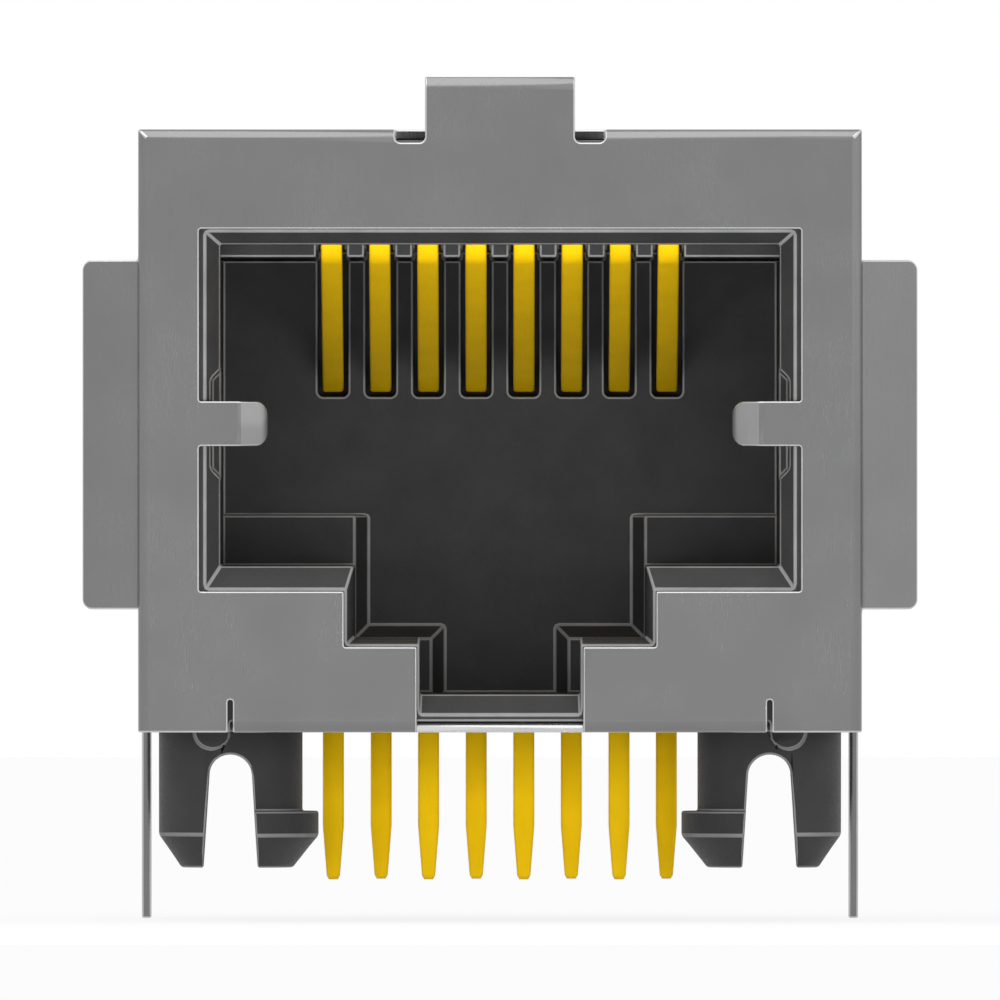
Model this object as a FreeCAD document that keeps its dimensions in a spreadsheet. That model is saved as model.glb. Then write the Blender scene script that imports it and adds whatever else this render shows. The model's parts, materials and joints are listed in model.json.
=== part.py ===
"""Shielded board jack for an eight-way modular plug.

Millimetres.  X runs to the right of somebody facing the plug opening, Y runs from that
opening to the back, and Z runs up from the board.  The origin is on the board, half way
between the two guide posts.  The plug goes in along +Y with its latch downwards.
"""
import FreeCAD, Part
import os
import re
import Sketcher

SIZES = [
    # The jack as a whole
    ("body_width", 15.24, "over the folded sheet, without the side wings"),
    ("body_height", 12.70, "from the board to the top of the sheet"),
    ("front_reach", 7.50, "from the post axes forward to the front face"),
    ("rear_reach", 8.16, "from the post axes back to the rear panel"),
    ("sheet_stock", 0.20, "thickness of the shield's sheet"),
    ("bend_inner", 0.06, "inner radius of the shield's sharp folds"),
    ("shell_gap", 0.03, "between the sheet and the housing"),
    ("fit_gap", 0.03, "between moulded pieces, and round a contact"),
    # The plug opening
    ("bay_width", 11.79, "width of the opening for the plug's body"),
    ("bay_floor", 3.50, "height of the ledges that the plug's body slides on"),
    ("bay_ceiling", 10.28, "underside of the wall above the plug"),
    ("lead_side", 0.31, "lead-in bevel at the sides of the opening"),
    ("lead_top", 0.27, "lead-in bevel above the opening"),
    ("lead_floor", 0.48, "lead-in bevel on the ledges"),
    ("lead_depth", 0.45, "how far back the lead-in bevels run"),
    ("rim_side", 0.13, "flat plastic that shows inside the sheet at the sides"),
    ("rim", 0.05, "flat plastic that shows inside the sheet elsewhere"),
    ("latch_width", 6.17, "slot for the shoulders of the plug's latch"),
    ("latch_floor", 2.00, "height of the bottom of that slot"),
    ("latch_lead", 0.15, "lead-in bevel of that slot"),
    ("tab_width", 3.36, "slot for the lever of the plug's latch"),
    ("tab_floor", 0.80, "height of the bottom of the lever's slot"),
    ("tab_lead", 0.02, "lead-in bevel beside the lever"),
    ("tab_ramp", 0.42, "lead-in bevel below the lever"),
    ("catch_wall", 1.27, "wall that the latch hooks behind"),
    # The back of the opening
    ("stop_reach", 2.90, "from the post axes back to the faces that stop the plug"),
    ("stop_rise", 1.07, "height of the stops above the ledges"),
    ("comb_reach", 3.40, "from the post axes back to the comb"),
    ("comb_wall", 1.08, "thickness of the comb"),
    ("comb_room", 0.08, "from the contacts' free ends down to the bottom of the comb's slots"),
    ("comb_round", 0.12, "radius in the bottom corners of the comb's slots"),
    ("frame_floor", 2.23, "height of the step between the stops"),
    ("frame_slot", 2.36, "width of the lower part between the stops"),
    ("frame_bevel", 0.275, "bevel round the inside of the stops"),
    ("relief_rise", 2.28, "height of the hollow behind each ground spring"),
    ("relief_sink", 0.20, "depth of that hollow in the side wall"),
    ("relief_reach", 4.20, "how far back that hollow runs"),
    # Contacts and the piece that carries them
    ("contact_pitch", 1.016, "spacing of the contacts"),
    ("contact_width", 0.45, "width of a contact strip"),
    ("contact_thick", 0.30, "thickness of a contact strip"),
    ("groove_room", 0.10, "on each side of a contact in the comb's and the carrier's grooves"),
    ("wrap_radius", 0.50, "radius of a contact's front bend, to its middle"),
    ("heel_radius", 0.45, "radius of a contact's rear bend, to its middle"),
    ("spring_slope", 17.2, "slope of a contact's sprung leg, in degrees"),
    ("tip_reach", 4.00, "from the post axes back to the contacts' free ends"),
    ("row_spacing", 1.78, "between the two rows of tails, in the middle of the carrier"),
    ("tail_length", 3.20, "of a contact's tail below the board's face"),
    ("tail_taper", 1.15, "length of the taper at a tail's end"),
    ("tail_tip", 0.27, "width of a tail at its end"),
    ("tongue_drop", 0.26, "of the tongue's underside below the bay's ceiling"),
    ("tongue_thick", 1.18, "thickness of the tongue"),
    ("tongue_reach", 5.35, "from the post axes forward to the tongue's edge"),
    ("tongue_side", 0.35, "of the tongue's edges into the housing's walls"),
    ("tongue_room", 0.25, "between the tongue's edge and the wall before it"),
    ("nose_recess", 0.10, "of the contacts' bends behind the tongue's edge"),
    ("top_recess", 0.05, "of the contacts below the tongue's upper face"),
    ("guide_rise", 0.20, "of the tail guide above the board"),
    ("guide_thick", 0.80, "thickness of the tail guide"),
    # Guide posts
    ("post_inset", 1.905, "from each side of the jack in to its post's axis"),
    ("post_width", 3.05, "diameter of a post"),
    ("post_length", 2.90, "of a post below the board's face"),
    ("post_bevel", 0.485, "width of the bevel at the foot of a post's plain leg"),
    ("post_point", 0.70, "height of that bevel"),
    ("hook_rise", 0.34, "of the hook beyond the post"),
    ("hook_drop", 1.70, "from the board's face down to the hook"),
    ("hook_land", 0.52, "height of the hook's outer face"),
    ("hook_bevel", 0.545, "bevel below the hook's outer face"),
    ("split_width", 0.92, "width of the split between a post's legs"),
    ("split_drop", 0.50, "from the board's face down to the end of the split"),
    ("split_flare", 0.12, "widening of the split on each side at its mouth"),
    ("post_clear", 0.135, "of the shallow ring round a post beyond the hook"),
    ("relief_depth", 0.15, "depth of that ring"),
    ("nib_radius", 0.38, "radius of the crush nib at a post's root"),
    ("nib_offset", 0.39, "of the nib outwards from the post's axis"),
    ("nib_rise", 0.075, "of the nib before the post's surface"),
    # The shield's own features
    ("seam_gap", 0.05, "slit between two panels that meet at an edge"),
    ("seam_rise", 0.90, "of the rear panel's lower edge above the board"),
    ("slit_inset", 1.94, "from each side in to the slit beside the lower fold"),
    ("slit_width", 0.10, "width of those slits"),
    ("slit_rise", 0.68, "height of those slits"),
    ("fold_length", 3.00, "of the lower fold under the housing"),
    ("lip_bevel", 0.14, "height of the bevel on that fold's edge below the latch's lever"),
    ("lip_depth", 0.07, "depth of that bevel"),
    ("finger_width", 3.16, "width of the top finger"),
    ("finger_rise", 1.11, "of the top finger above the top panel"),
    ("finger_curl", 0.25, "radius of the top finger's rounded tip, to its middle"),
    ("finger_turn", 60.0, "bend of that tip, in degrees"),
    ("notch_width", 0.63, "width of the notch on each side of the top finger"),
    ("notch_depth", 0.28, "depth of those notches in the front face"),
    ("notch_round", 0.12, "radius in the corners of those notches"),
    ("window_length", 1.60, "of the window that the top finger was cut from"),
    ("wing_reach", 1.19, "of a side wing beyond the side panel"),
    ("wing_bottom", 2.59, "height of a side wing's lower edge"),
    ("wing_rise", 7.36, "height of a side wing"),
    ("wing_lean", 25.0, "lean of a side wing from the front face, in degrees"),
    ("wing_bend", 0.20, "radius of a side wing's bend, to its middle"),
    ("wing_corner", 0.22, "radius of a side wing's outer corners"),
    ("wing_slot", 0.12, "clearance round a side wing in its panel"),
    ("wing_window", 1.65, "length of the window that a side wing was cut from"),
    ("spring_level", 6.50, "height of the ground springs' middle"),
    ("spring_height", 0.95, "height of a ground spring's strip"),
    ("spring_flat", 0.78, "from the opening's edge to a ground spring's bend"),
    ("spring_bend", 0.16, "radius of that bend, to its middle"),
    ("spring_turn", 35.0, "angle of that bend, in degrees"),
    ("spring_tip", 1.40, "from the opening's edge to a ground spring's tip"),
    ("spring_round", 0.30, "radius of the corners at a ground spring's tip"),
    ("leg_reach", 3.05, "from the post axes back to the shield's solder tails"),
    ("leg_width", 1.20, "width of a shield tail"),
    ("leg_length", 4.00, "of a shield tail below the board's face"),
    ("leg_taper", 0.80, "length of the taper at a shield tail's end"),
    ("leg_tip", 0.50, "width of a shield tail at its end"),
    ("lock_reach", 1.20, "from the post axes forward to the locks' middle"),
    ("lock_level", 9.00, "height of the locks' middle"),
    ("lock_length", 1.80, "of a lock window along the side panel"),
    ("lock_height", 1.30, "of a lock window"),
    ("lock_gap", 0.08, "between a lock bump and its window's edge"),
    ("lock_rise", 0.16, "of a lock bump into its window"),
    ("hold_level", 7.60, "height of the rear hold-down tabs' middle"),
    ("hold_height", 2.20, "height of a rear hold-down tab"),
    ("hold_length", 1.30, "of a rear hold-down tab along the rear panel"),
]
CONTACTS = 8
BEYOND = "1"

# Places that several pieces share, as formulas in the sizes above.
HALF = "(body_width / 2)"
FOLD = "(sheet_stock + bend_inner)"
CASE_HALF = "(body_width / 2 - sheet_stock - shell_gap)"
CASE_TOP = "(body_height - sheet_stock - shell_gap)"
CASE_FRONT = "(sheet_stock + shell_gap - front_reach)"
CASE_REAR = "(rear_reach - sheet_stock - shell_gap)"
BAY_HALF = "(bay_width / 2)"
MOUTH_HALF = "(bay_width / 2 + lead_side + rim_side)"
CATCH_REAR = f"({CASE_FRONT} + catch_wall)"
TONGUE_BOTTOM = "(bay_ceiling - tongue_drop)"
TONGUE_TOP = f"({TONGUE_BOTTOM} + tongue_thick)"
CARRIER_HALF = "(bay_width / 2 + tongue_side)"
CARRIER_FRONT = "(comb_reach + comb_wall)"
RUN_LEVEL = f"({TONGUE_TOP} - top_recess - contact_thick / 2)"
WRAP_Y = "(nose_recess + contact_thick / 2 + wrap_radius - tongue_reach)"
WRAP_Z = f"({RUN_LEVEL} - wrap_radius)"
LEG_TURN = "(180 - spring_slope)"
LEG_Y = f"({WRAP_Y} - wrap_radius * sin{LEG_TURN})"
LEG_Z = f"({WRAP_Z} + wrap_radius * cos{LEG_TURN})"
TIP_Z = f"({LEG_Z} - (tip_reach - {LEG_Y}) * tan(spring_slope))"
COMB_FLOOR = f"({TIP_Z} - contact_thick / 2 * cos(spring_slope) - comb_room)"
GROOVE_WIDTH = "(contact_width + groove_room * 2)"
GUIDE_TOP = "(guide_rise + guide_thick)"
FIRST_CONTACT = f"(-contact_pitch * {(CONTACTS - 1) / 2})"
ROW_MIDDLE = f"(({CARRIER_FRONT} + fit_gap + {CASE_REAR}) / 2)"
FIRST_ROW = f"({ROW_MIDDLE} - row_spacing / 2)"
SECOND_ROW = f"({ROW_MIDDLE} + row_spacing / 2)"
POST_AXIS = "(body_width / 2 - post_inset)"
HOOK_REACH = "(post_width / 2 + hook_rise)"
SLIT_AT = "(body_width / 2 - slit_inset)"

doc = FreeCAD.newDocument("board_jack")
sheet = doc.addObject("Spreadsheet::Sheet", "sizes")


def fill_sheet():
    """One row for each size: its name, its value with the name as alias, and what it measures."""
    for row, (alias, value, meaning) in enumerate(SIZES, start=1):
        sheet.set(f"A{row}", alias)
        sheet.set(f"B{row}", str(value))
        sheet.set(f"C{row}", meaning)
        sheet.setAlias(f"B{row}", alias)
    doc.recompute()


ALIAS_WORD = re.compile(r"\b(" + "|".join(alias for alias, value, meaning in SIZES) + r")\b")


def bound(formula):
    """The formula with each size's name pointing at its cell."""
    return ALIAS_WORD.sub(r"sizes.\1", formula)


def worth(formula):
    """The number that a formula gives now."""
    result = sheet.evalExpression(ALIAS_WORD.sub(r"\1", formula))
    return float(getattr(result, "Value", result))


def minus(formula):
    return f"(-({formula}))"


def new_body(name):
    body = doc.addObject("PartDesign::Body", name)
    body.Label = name
    return body


def origin_part(body, role):
    """One of the body's own origin planes or axes."""
    return next(item for item in body.Origin.OriginFeatures if item.Role == role)


def arc_between(start, end, radius, turn):
    """The arc of less than half a turn from start to end; turn is 1 to the left, -1 to the right."""
    chord = end - start
    rise = (radius ** 2 - (chord.Length / 2) ** 2) ** 0.5
    sideways = FreeCAD.Vector(-chord.y, chord.x, 0).normalize() * (rise * turn)
    centre = (start + end) * 0.5 + sideways
    first, last = (start, end) if turn > 0 else (end, start)
    circle = Part.Circle(centre, FreeCAD.Vector(0, 0, 1), radius)
    return Part.ArcOfCircle(circle, circle.parameter(first), circle.parameter(last))


def outline(body, name, role, level, corners, arcs=None, shift="0"):
    """A closed sketch on one of the body's planes, moved along the plane's normal by level.

    corners are pairs of formulas.  arcs gives, for the number of the corner that it starts
    from, an arc's radius formula and its turn; all other sides are straight.
    """
    arcs = arcs or {}
    sketch = body.newObject("Sketcher::SketchObject", name)
    sketch.AttachmentSupport = [(origin_part(body, role), "")]
    sketch.MapMode = "FlatFace"
    sketch.setExpression("AttachmentOffset.Base.z", bound(level))
    sketch.setExpression("AttachmentOffset.Base.x", bound(shift))
    spots = [FreeCAD.Vector(worth(across), worth(up), 0) for across, up in corners]
    sides = []
    ends = []
    for number, spot in enumerate(spots):
        following = spots[(number + 1) % len(spots)]
        if number in arcs:
            radius, turn = arcs[number]
            sides.append(arc_between(spot, following, worth(radius), turn))
            ends.append((1, 2) if turn > 0 else (2, 1))
        else:
            sides.append(Part.LineSegment(spot, following))
            ends.append((1, 2))
    rules = []
    formulas = []
    for number, (begins, stops) in enumerate(ends):
        after = (number + 1) % len(ends)
        rules.append(Sketcher.Constraint("Coincident", number, stops, after, ends[after][0]))
        formulas.append(None)
        for kind, formula in zip(("DistanceX", "DistanceY"), corners[number]):
            rules.append(Sketcher.Constraint(kind, -1, 1, number, begins, worth(formula)))
            formulas.append(formula)
        if number in arcs:
            rules.append(Sketcher.Constraint("Radius", number, worth(arcs[number][0])))
            formulas.append(arcs[number][0])
    sketch.addGeometry(sides)
    sketch.addConstraint(rules)
    for rule, formula in enumerate(formulas):
        if formula:
            sketch.setExpression(f"Constraints[{rule}]", bound(formula))
    return sketch


def block(left, right, low, high):
    """The corners of an upright rectangle."""
    return [(left, low), (right, low), (right, high), (left, high)]


def both_halves(half):
    """Corners of a symmetric outline from those of its right half, given from bottom to top."""
    return half + [(minus(across), up) for across, up in reversed(half)]


def strip_outline(start, heading, thickness, moves):
    """Corners and arcs of a bent strip seen edge on.

    The strip's middle starts at start and heads in the direction heading, in degrees from
    the sketch's first axis.  Each move is ("run", length) or ("bend", radius, angle), where
    a positive angle turns left.  A bend is drawn as two arcs.
    """
    place = start
    left, right, turns = [], [], []

    def offset(point, angle, distance):
        return (f"({point[0]} - ({distance}) * sin({angle}))",
                f"({point[1]} + ({distance}) * cos({angle}))")

    def mark(turn):
        left.append(offset(place, heading, f"{thickness} / 2"))
        right.append(offset(place, heading, f"-{thickness} / 2"))
        turns.append(turn)

    mark(None)
    for kind, *values in moves:
        if kind == "run":
            length = values[0]
            place = (f"({place[0]} + ({length}) * cos({heading}))",
                     f"({place[1]} + ({length}) * sin({heading}))")
            mark(None)
            continue
        radius, angle = values
        sense = 1 if worth(angle) > 0 else -1
        for _ in range(2):
            centre = offset(place, heading, f"{radius} * {sense}")
            heading = f"({heading} + ({angle}) / 2)"
            place = offset(centre, heading, f"-{radius} * {sense}")
            mark((radius, sense))
    arcs = {}
    count = len(left)
    for number in range(1, count):
        if turns[number]:
            radius, sense = turns[number]
            arcs[number - 1] = (f"({radius} - {thickness} / 2 * {sense})", sense)
            arcs[2 * count - 1 - number] = (f"({radius} + {thickness} / 2 * {sense})", -sense)
    return left + right[::-1], arcs


def grow(body, name, sketch, length, symmetric=False, rearward=False):
    """A pad of the sketch along its normal, or against it, or to both sides."""
    pad = body.newObject("PartDesign::Pad", name)
    pad.Profile = sketch
    pad.SideType = "Symmetric" if symmetric else "One side"
    pad.Reversed = rearward
    pad.setExpression("Length", bound(length))
    doc.recompute()
    return pad


def cut(body, name, sketch, length, symmetric=False, forward=False, draft=None):
    """A pocket of the sketch against its normal, or along it, or to both sides."""
    before = body.Shape.Volume
    pocket = body.newObject("PartDesign::Pocket", name)
    pocket.Profile = sketch
    pocket.SideType = "Symmetric" if symmetric else "One side"
    pocket.Reversed = forward
    pocket.setExpression("Length", bound(length))
    if draft:
        pocket.setExpression("TaperAngle", bound(draft))
    doc.recompute()
    if body.Shape.Volume >= before:
        raise RuntimeError(f"{name} removes nothing")
    return pocket


def mirror(body, name, features):
    """The same features on the other side of the jack."""
    copy = body.newObject("PartDesign::Mirrored", name)
    copy.Originals = features
    copy.MirrorPlane = (origin_part(body, "YZ_Plane"), [""])
    body.Tip = copy
    doc.recompute()
    return copy


def repeat(body, name, features, step, count):
    """The same features at even steps to the right."""
    pattern = body.newObject("PartDesign::LinearPattern", name)
    pattern.Originals = features
    pattern.Direction = (origin_part(body, "X_Axis"), [""])
    pattern.setExpression("Length", bound(f"({step}) * {count - 1}"))
    pattern.Occurrences = count
    body.Tip = pattern
    doc.recompute()
    return pattern


def edges_where(shape, test):
    """Names of the edges that pass the test."""
    return [f"Edge{number}" for number, edge in enumerate(shape.Edges, start=1) if test(edge)]


def soften(body, name, radius, test):
    """A fillet of the edges that pass the test."""
    base = body.Tip
    names = edges_where(base.Shape, test)
    if not names:
        raise RuntimeError(f"{name} finds no edge")
    fillet = body.newObject("PartDesign::Fillet", name)
    fillet.Base = (base, names)
    fillet.setExpression("Radius", bound(radius))
    doc.recompute()
    return fillet


def near(value, formula):
    return abs(value - worth(formula)) < 0.001


def mouth_corners(side, top, ledge, shoulder, step, slot, bottom):
    """The stepped outline of the plug opening, from half widths and heights."""
    return both_halves([
        (slot, bottom), (slot, step), (shoulder, step), (shoulder, ledge), (side, ledge), (side, top)])


# The shield


def add_shell(body):
    """Front, sides, top and rear panels, folded from one sheet and open underneath."""
    face = outline(body, "shell_face", "XZ_Plane", "front_reach",
                   block(minus(HALF), HALF, "0", "body_height"))
    grow(body, "shell_block", face, "front_reach + rear_reach", rearward=True)

    def is_fold(edge):
        middle = edge.CenterOfMass
        upright = near(middle.y, "-front_reach") and near(abs(middle.x), HALF)
        across = near(middle.z, "body_height") and abs(middle.x) < 0.001
        return upright or across

    folds = soften(body, "folds", FOLD, is_fold)
    wall = body.newObject("PartDesign::Thickness", "sheet_wall")
    bottom = [f"Face{number}" for number, side in enumerate(folds.Shape.Faces, start=1)
              if abs(side.BoundBox.ZMax) < 0.001]
    wall.Base = (folds, bottom)
    wall.Reversed = True
    wall.setExpression("Value", bound("sheet_stock"))
    doc.recompute()


def add_seams(body):
    """Slits where the top and rear panels meet the sides, and the rear panel's raised edge."""
    first = f"({FOLD} - front_reach)"
    edge = outline(body, "seam_path", "YZ_Plane", f"{HALF} - sheet_stock - seam_gap", [
        (first, f"body_height - {FOLD}"), (f"rear_reach - {FOLD}", f"body_height - {FOLD}"),
        (f"rear_reach - {FOLD}", minus(BEYOND)), (f"rear_reach + {BEYOND}", minus(BEYOND)),
        (f"rear_reach + {BEYOND}", f"body_height + {BEYOND}"), (first, f"body_height + {BEYOND}")])
    slit = cut(body, "seam", edge, "seam_gap", forward=True)
    mirror(body, "seams", [slit])
    lower = outline(body, "rear_edge_face", "XZ_Plane", minus(f"rear_reach + {BEYOND}"),
                    block(minus(f"{HALF} - sheet_stock"), f"{HALF} - sheet_stock",
                          minus(BEYOND), "seam_rise"))
    cut(body, "rear_edge", lower, f"{BEYOND} + {FOLD}", forward=True)


def add_lower_fold(body):
    """The front face's lower edge, folded back under the housing between two slits."""
    inner = f"({SLIT_AT} - slit_width / 2)"
    outer = f"({SLIT_AT} + slit_width / 2)"
    face = outline(body, "slit_face", "XZ_Plane", "front_reach", both_halves([
        (outer, minus(BEYOND)), (outer, "slit_rise"), (inner, "slit_rise"), (inner, FOLD)]))
    cut(body, "slits", face, FOLD)
    middle = "(sheet_stock / 2 - front_reach)"
    corners, arcs = strip_outline((middle, f"{FOLD} + sheet_stock"), "270", "sheet_stock", [
        ("run", "sheet_stock"), ("bend", "(bend_inner + sheet_stock / 2)", "90"),
        ("run", f"fold_length - {FOLD}")])
    edge = outline(body, "fold_edge", "YZ_Plane", "0", corners, arcs)
    grow(body, "lower_fold", edge, f"{inner} * 2", symmetric=True)


def add_mouth(body):
    """The stepped opening in the front face, cut down to the lower fold for the latch's lever."""
    lever = "(tab_width / 2 + tab_lead + rim)"
    face = outline(body, "mouth_face", "XZ_Plane", f"front_reach + {BEYOND}", mouth_corners(
        MOUTH_HALF, "bay_ceiling + lead_top + rim", "bay_floor - lead_floor - rim",
        "latch_width / 2 + latch_lead + rim", "latch_floor - latch_lead - rim",
        lever, minus(BEYOND)))
    cut(body, "mouth", face, f"{FOLD} + {BEYOND}")
    edge = f"({FOLD} - front_reach)"
    bevel = outline(body, "lip_face", "YZ_Plane", "0", [
        (f"{edge} - lip_depth", "sheet_stock - lip_bevel * 2"),
        (f"{edge} + lip_depth * 2", "sheet_stock + lip_bevel"),
        (f"{edge} - lip_depth", "sheet_stock + lip_bevel")])
    cut(body, "lip", bevel, f"{lever} * 2", symmetric=True)


def add_top_finger(body):
    """A grounding finger that goes straight on up from the front face, between two notches."""
    reach = "(finger_width / 2 + notch_width)"
    face = outline(body, "notch_face", "XZ_Plane", f"front_reach + {BEYOND}",
                   block(minus(reach), reach, "body_height - notch_depth", f"body_height + {BEYOND}"))
    cut(body, "finger_window", face, f"window_length + {BEYOND}")
    middle = "(sheet_stock / 2 - front_reach)"
    straight = "(finger_rise - (finger_curl + sheet_stock / 2) * sin(finger_turn))"
    corners, arcs = strip_outline((middle, "body_height - notch_depth - sheet_stock"), "90",
                                  "sheet_stock", [
        ("run", f"{straight} + notch_depth + sheet_stock"), ("bend", "finger_curl", "-finger_turn")])
    edge = outline(body, "finger_edge", "YZ_Plane", "0", corners, arcs)
    grow(body, "top_finger", edge, "finger_width", symmetric=True)

    def is_corner(side):
        middle = side.CenterOfMass
        return (near(side.Length, "sheet_stock") and abs(middle.x) < worth(f"{reach} + sheet_stock")
                and near(middle.y, "sheet_stock / 2 - front_reach")
                and near(middle.z, "body_height - notch_depth"))

    soften(body, "notch_corners", "notch_round", is_corner)


def add_wings(body):
    """A wide grounding finger on each side, bent out of the side panel just behind the front."""
    bend_at = f"({FOLD} - front_reach)"
    window = outline(body, "wing_window_edge", "YZ_Plane", f"{HALF} + {BEYOND}",
                     block(bend_at, f"{bend_at} + wing_window", "wing_bottom - wing_slot",
                           "wing_bottom + wing_rise + wing_slot"))
    opening = cut(body, "wing_window", window, f"{BEYOND} + sheet_stock + bend_inner")
    mirror(body, "wing_windows", [opening])
    turn = "(90 - wing_lean)"
    out = f"({HALF} - sheet_stock / 2 + wing_bend * (1 - cos{turn}))"
    tip = f"({HALF} + wing_reach - sheet_stock / 2 * sin(wing_lean))"
    corners, arcs = strip_outline(
        (f"{HALF} - sheet_stock / 2", f"{bend_at} - bend_inner / 2"), "90", "sheet_stock", [
            ("run", "bend_inner"), ("bend", "wing_bend", minus(turn)),
            ("run", f"({tip} - {out}) / cos(wing_lean)")])
    edge = outline(body, "wing_edge", "XY_Plane", "wing_bottom", corners, arcs)
    wing = grow(body, "wing", edge, "wing_rise")
    mirror(body, "wings", [wing])

    def is_corner(side):
        middle = side.CenterOfMass
        return (abs(middle.x) > worth(f"{HALF} + wing_reach / 2") and near(side.Length, "sheet_stock")
                and (near(middle.z, "wing_bottom") or near(middle.z, "wing_bottom + wing_rise")))

    soften(body, "wing_corners", "wing_corner", is_corner)


def add_ground_springs(body):
    """A narrow strip on each side of the opening, bent in so that its end rubs on the plug."""
    corners, arcs = strip_outline(
        (f"{MOUTH_HALF} + sheet_stock", "sheet_stock / 2 - front_reach"), "180", "sheet_stock", [
            ("run", "sheet_stock + spring_flat"), ("bend", "spring_bend", minus("spring_turn")),
            ("run", "(spring_tip - spring_flat - spring_bend * sin(spring_turn)) / cos(spring_turn)")])
    edge = outline(body, "spring_edge", "XY_Plane", "spring_level - spring_height / 2", corners, arcs)
    spring = grow(body, "ground_spring", edge, "spring_height")
    mirror(body, "ground_springs", [spring])

    def is_corner(side):
        middle = side.CenterOfMass
        low = near(middle.z, "spring_level - spring_height / 2")
        high = near(middle.z, "spring_level + spring_height / 2")
        free = abs(middle.x) < worth(f"{MOUTH_HALF} - (spring_flat + spring_tip) / 2")
        return free and near(side.Length, "sheet_stock") and (low or high)

    soften(body, "spring_corners", "spring_round", is_corner)


def add_shield_tails(body):
    """A solder tail below each side panel, with a tapered end."""
    def side(sign):
        return [(f"leg_reach + {sign} * leg_width / 2", "sheet_stock"),
                (f"leg_reach + {sign} * leg_width / 2", "leg_taper - leg_length"),
                (f"leg_reach + {sign} * leg_tip / 2", "-leg_length")]

    edge = outline(body, "tail_face", "YZ_Plane", f"{HALF} - sheet_stock", side("-1") + side("1")[::-1])
    tail = grow(body, "shield_tail", edge, "sheet_stock")
    mirror(body, "shield_tails", [tail])


def add_lock_windows(body):
    """A window in each side panel for the housing's lock bump."""
    edge = outline(body, "lock_face", "YZ_Plane", f"{HALF} + {BEYOND}",
                   block("-lock_reach - lock_length / 2", "-lock_reach + lock_length / 2",
                         "lock_level - lock_height / 2", "lock_level + lock_height / 2"))
    window = cut(body, "lock_window", edge, f"{BEYOND} + sheet_stock + bend_inner")
    mirror(body, "lock_windows", [window])


def add_hold_tabs(body):
    """Tabs on the side panels, folded over the rear panel to hold it shut."""
    corners, arcs = strip_outline(
        (f"{HALF} - sheet_stock / 2", "rear_reach - sheet_stock"), "90", "sheet_stock", [
            ("run", "sheet_stock + seam_gap - bend_inner"),
            ("bend", "(bend_inner + sheet_stock / 2)", "90"), ("run", f"hold_length - {FOLD}")])
    edge = outline(body, "hold_edge", "XY_Plane", "hold_level - hold_height / 2", corners, arcs)
    tab = grow(body, "hold_tab", edge, "hold_height")
    mirror(body, "hold_tabs", [tab])


def build_shield():
    body = new_body("shield")
    add_shell(body)
    add_seams(body)
    add_lower_fold(body)
    add_mouth(body)
    add_top_finger(body)
    add_wings(body)
    add_ground_springs(body)
    add_shield_tails(body)
    add_lock_windows(body)
    add_hold_tabs(body)
    return body


# The housing


def add_case(body):
    """The moulded block that fills the shield."""
    face = outline(body, "case_face", "XZ_Plane", minus(CASE_FRONT),
                   block(minus(CASE_HALF), CASE_HALF, "0", CASE_TOP))
    grow(body, "case", face, f"{CASE_REAR} - {CASE_FRONT}", rearward=True)


def add_plug_bay(body):
    """The room for the plug: the bay, the latch's slots and pocket, and the lead-in bevels."""
    upper = outline(body, "bay_face", "XZ_Plane", minus(CASE_FRONT),
                    block(minus(BAY_HALF), BAY_HALF, "bay_floor + stop_rise", "bay_ceiling"))
    cut(body, "bay", upper, f"comb_reach - {CASE_FRONT}")
    lower = outline(body, "bay_foot_face", "XZ_Plane", minus(CASE_FRONT),
                    block(minus(BAY_HALF), BAY_HALF, "bay_floor", "bay_floor + stop_rise"))
    cut(body, "bay_foot", lower, f"stop_reach - {CASE_FRONT}")
    slot = outline(body, "latch_slot_face", "XZ_Plane", minus(CASE_FRONT), both_halves([
        ("tab_width / 2", "tab_floor"), ("tab_width / 2", "latch_floor"),
        ("latch_width / 2", "latch_floor"), ("latch_width / 2", "bay_floor")]))
    cut(body, "latch_slot", slot, "catch_wall")
    pocket = outline(body, "latch_pocket_face", "XZ_Plane", minus(CATCH_REAR),
                     block(minus("latch_width / 2"), "latch_width / 2", "tab_floor", "bay_floor"))
    cut(body, "latch_pocket", pocket, f"stop_reach - {CATCH_REAR}")
    wide = outline(body, "lead_in_face", "XZ_Plane", minus(CASE_FRONT), mouth_corners(
        f"{BAY_HALF} + lead_side", "bay_ceiling + lead_top", "bay_floor - lead_floor",
        "latch_width / 2 + latch_lead", "latch_floor - latch_lead",
        "tab_width / 2 + tab_lead", "tab_floor - tab_ramp"))
    narrow = outline(body, "lead_in_root", "XZ_Plane", minus(f"{CASE_FRONT} + lead_depth"), mouth_corners(
        BAY_HALF, "bay_ceiling", "bay_floor", "latch_width / 2", "latch_floor",
        "tab_width / 2", "tab_floor"))
    bevel = body.newObject("PartDesign::SubtractiveLoft", "lead_in")
    bevel.Profile = wide
    bevel.Sections = [narrow]
    bevel.Ruled = True
    doc.recompute()


def add_stops(body):
    """The bevelled opening between the two blocks that stop the plug's nose."""
    wide = "(latch_width / 2)"
    narrow = "(frame_slot / 2 + frame_bevel)"
    face = outline(body, "stop_face", "XZ_Plane", minus("stop_reach"), both_halves([
        (narrow, "tab_floor - frame_bevel"), (narrow, "frame_floor - frame_bevel"),
        (wide, "frame_floor - frame_bevel"), (wide, "bay_floor + stop_rise + frame_bevel")]))
    cut(body, "stops", face, "comb_reach - stop_reach",
        draft="-atan(frame_bevel / (comb_reach - stop_reach))")


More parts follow.
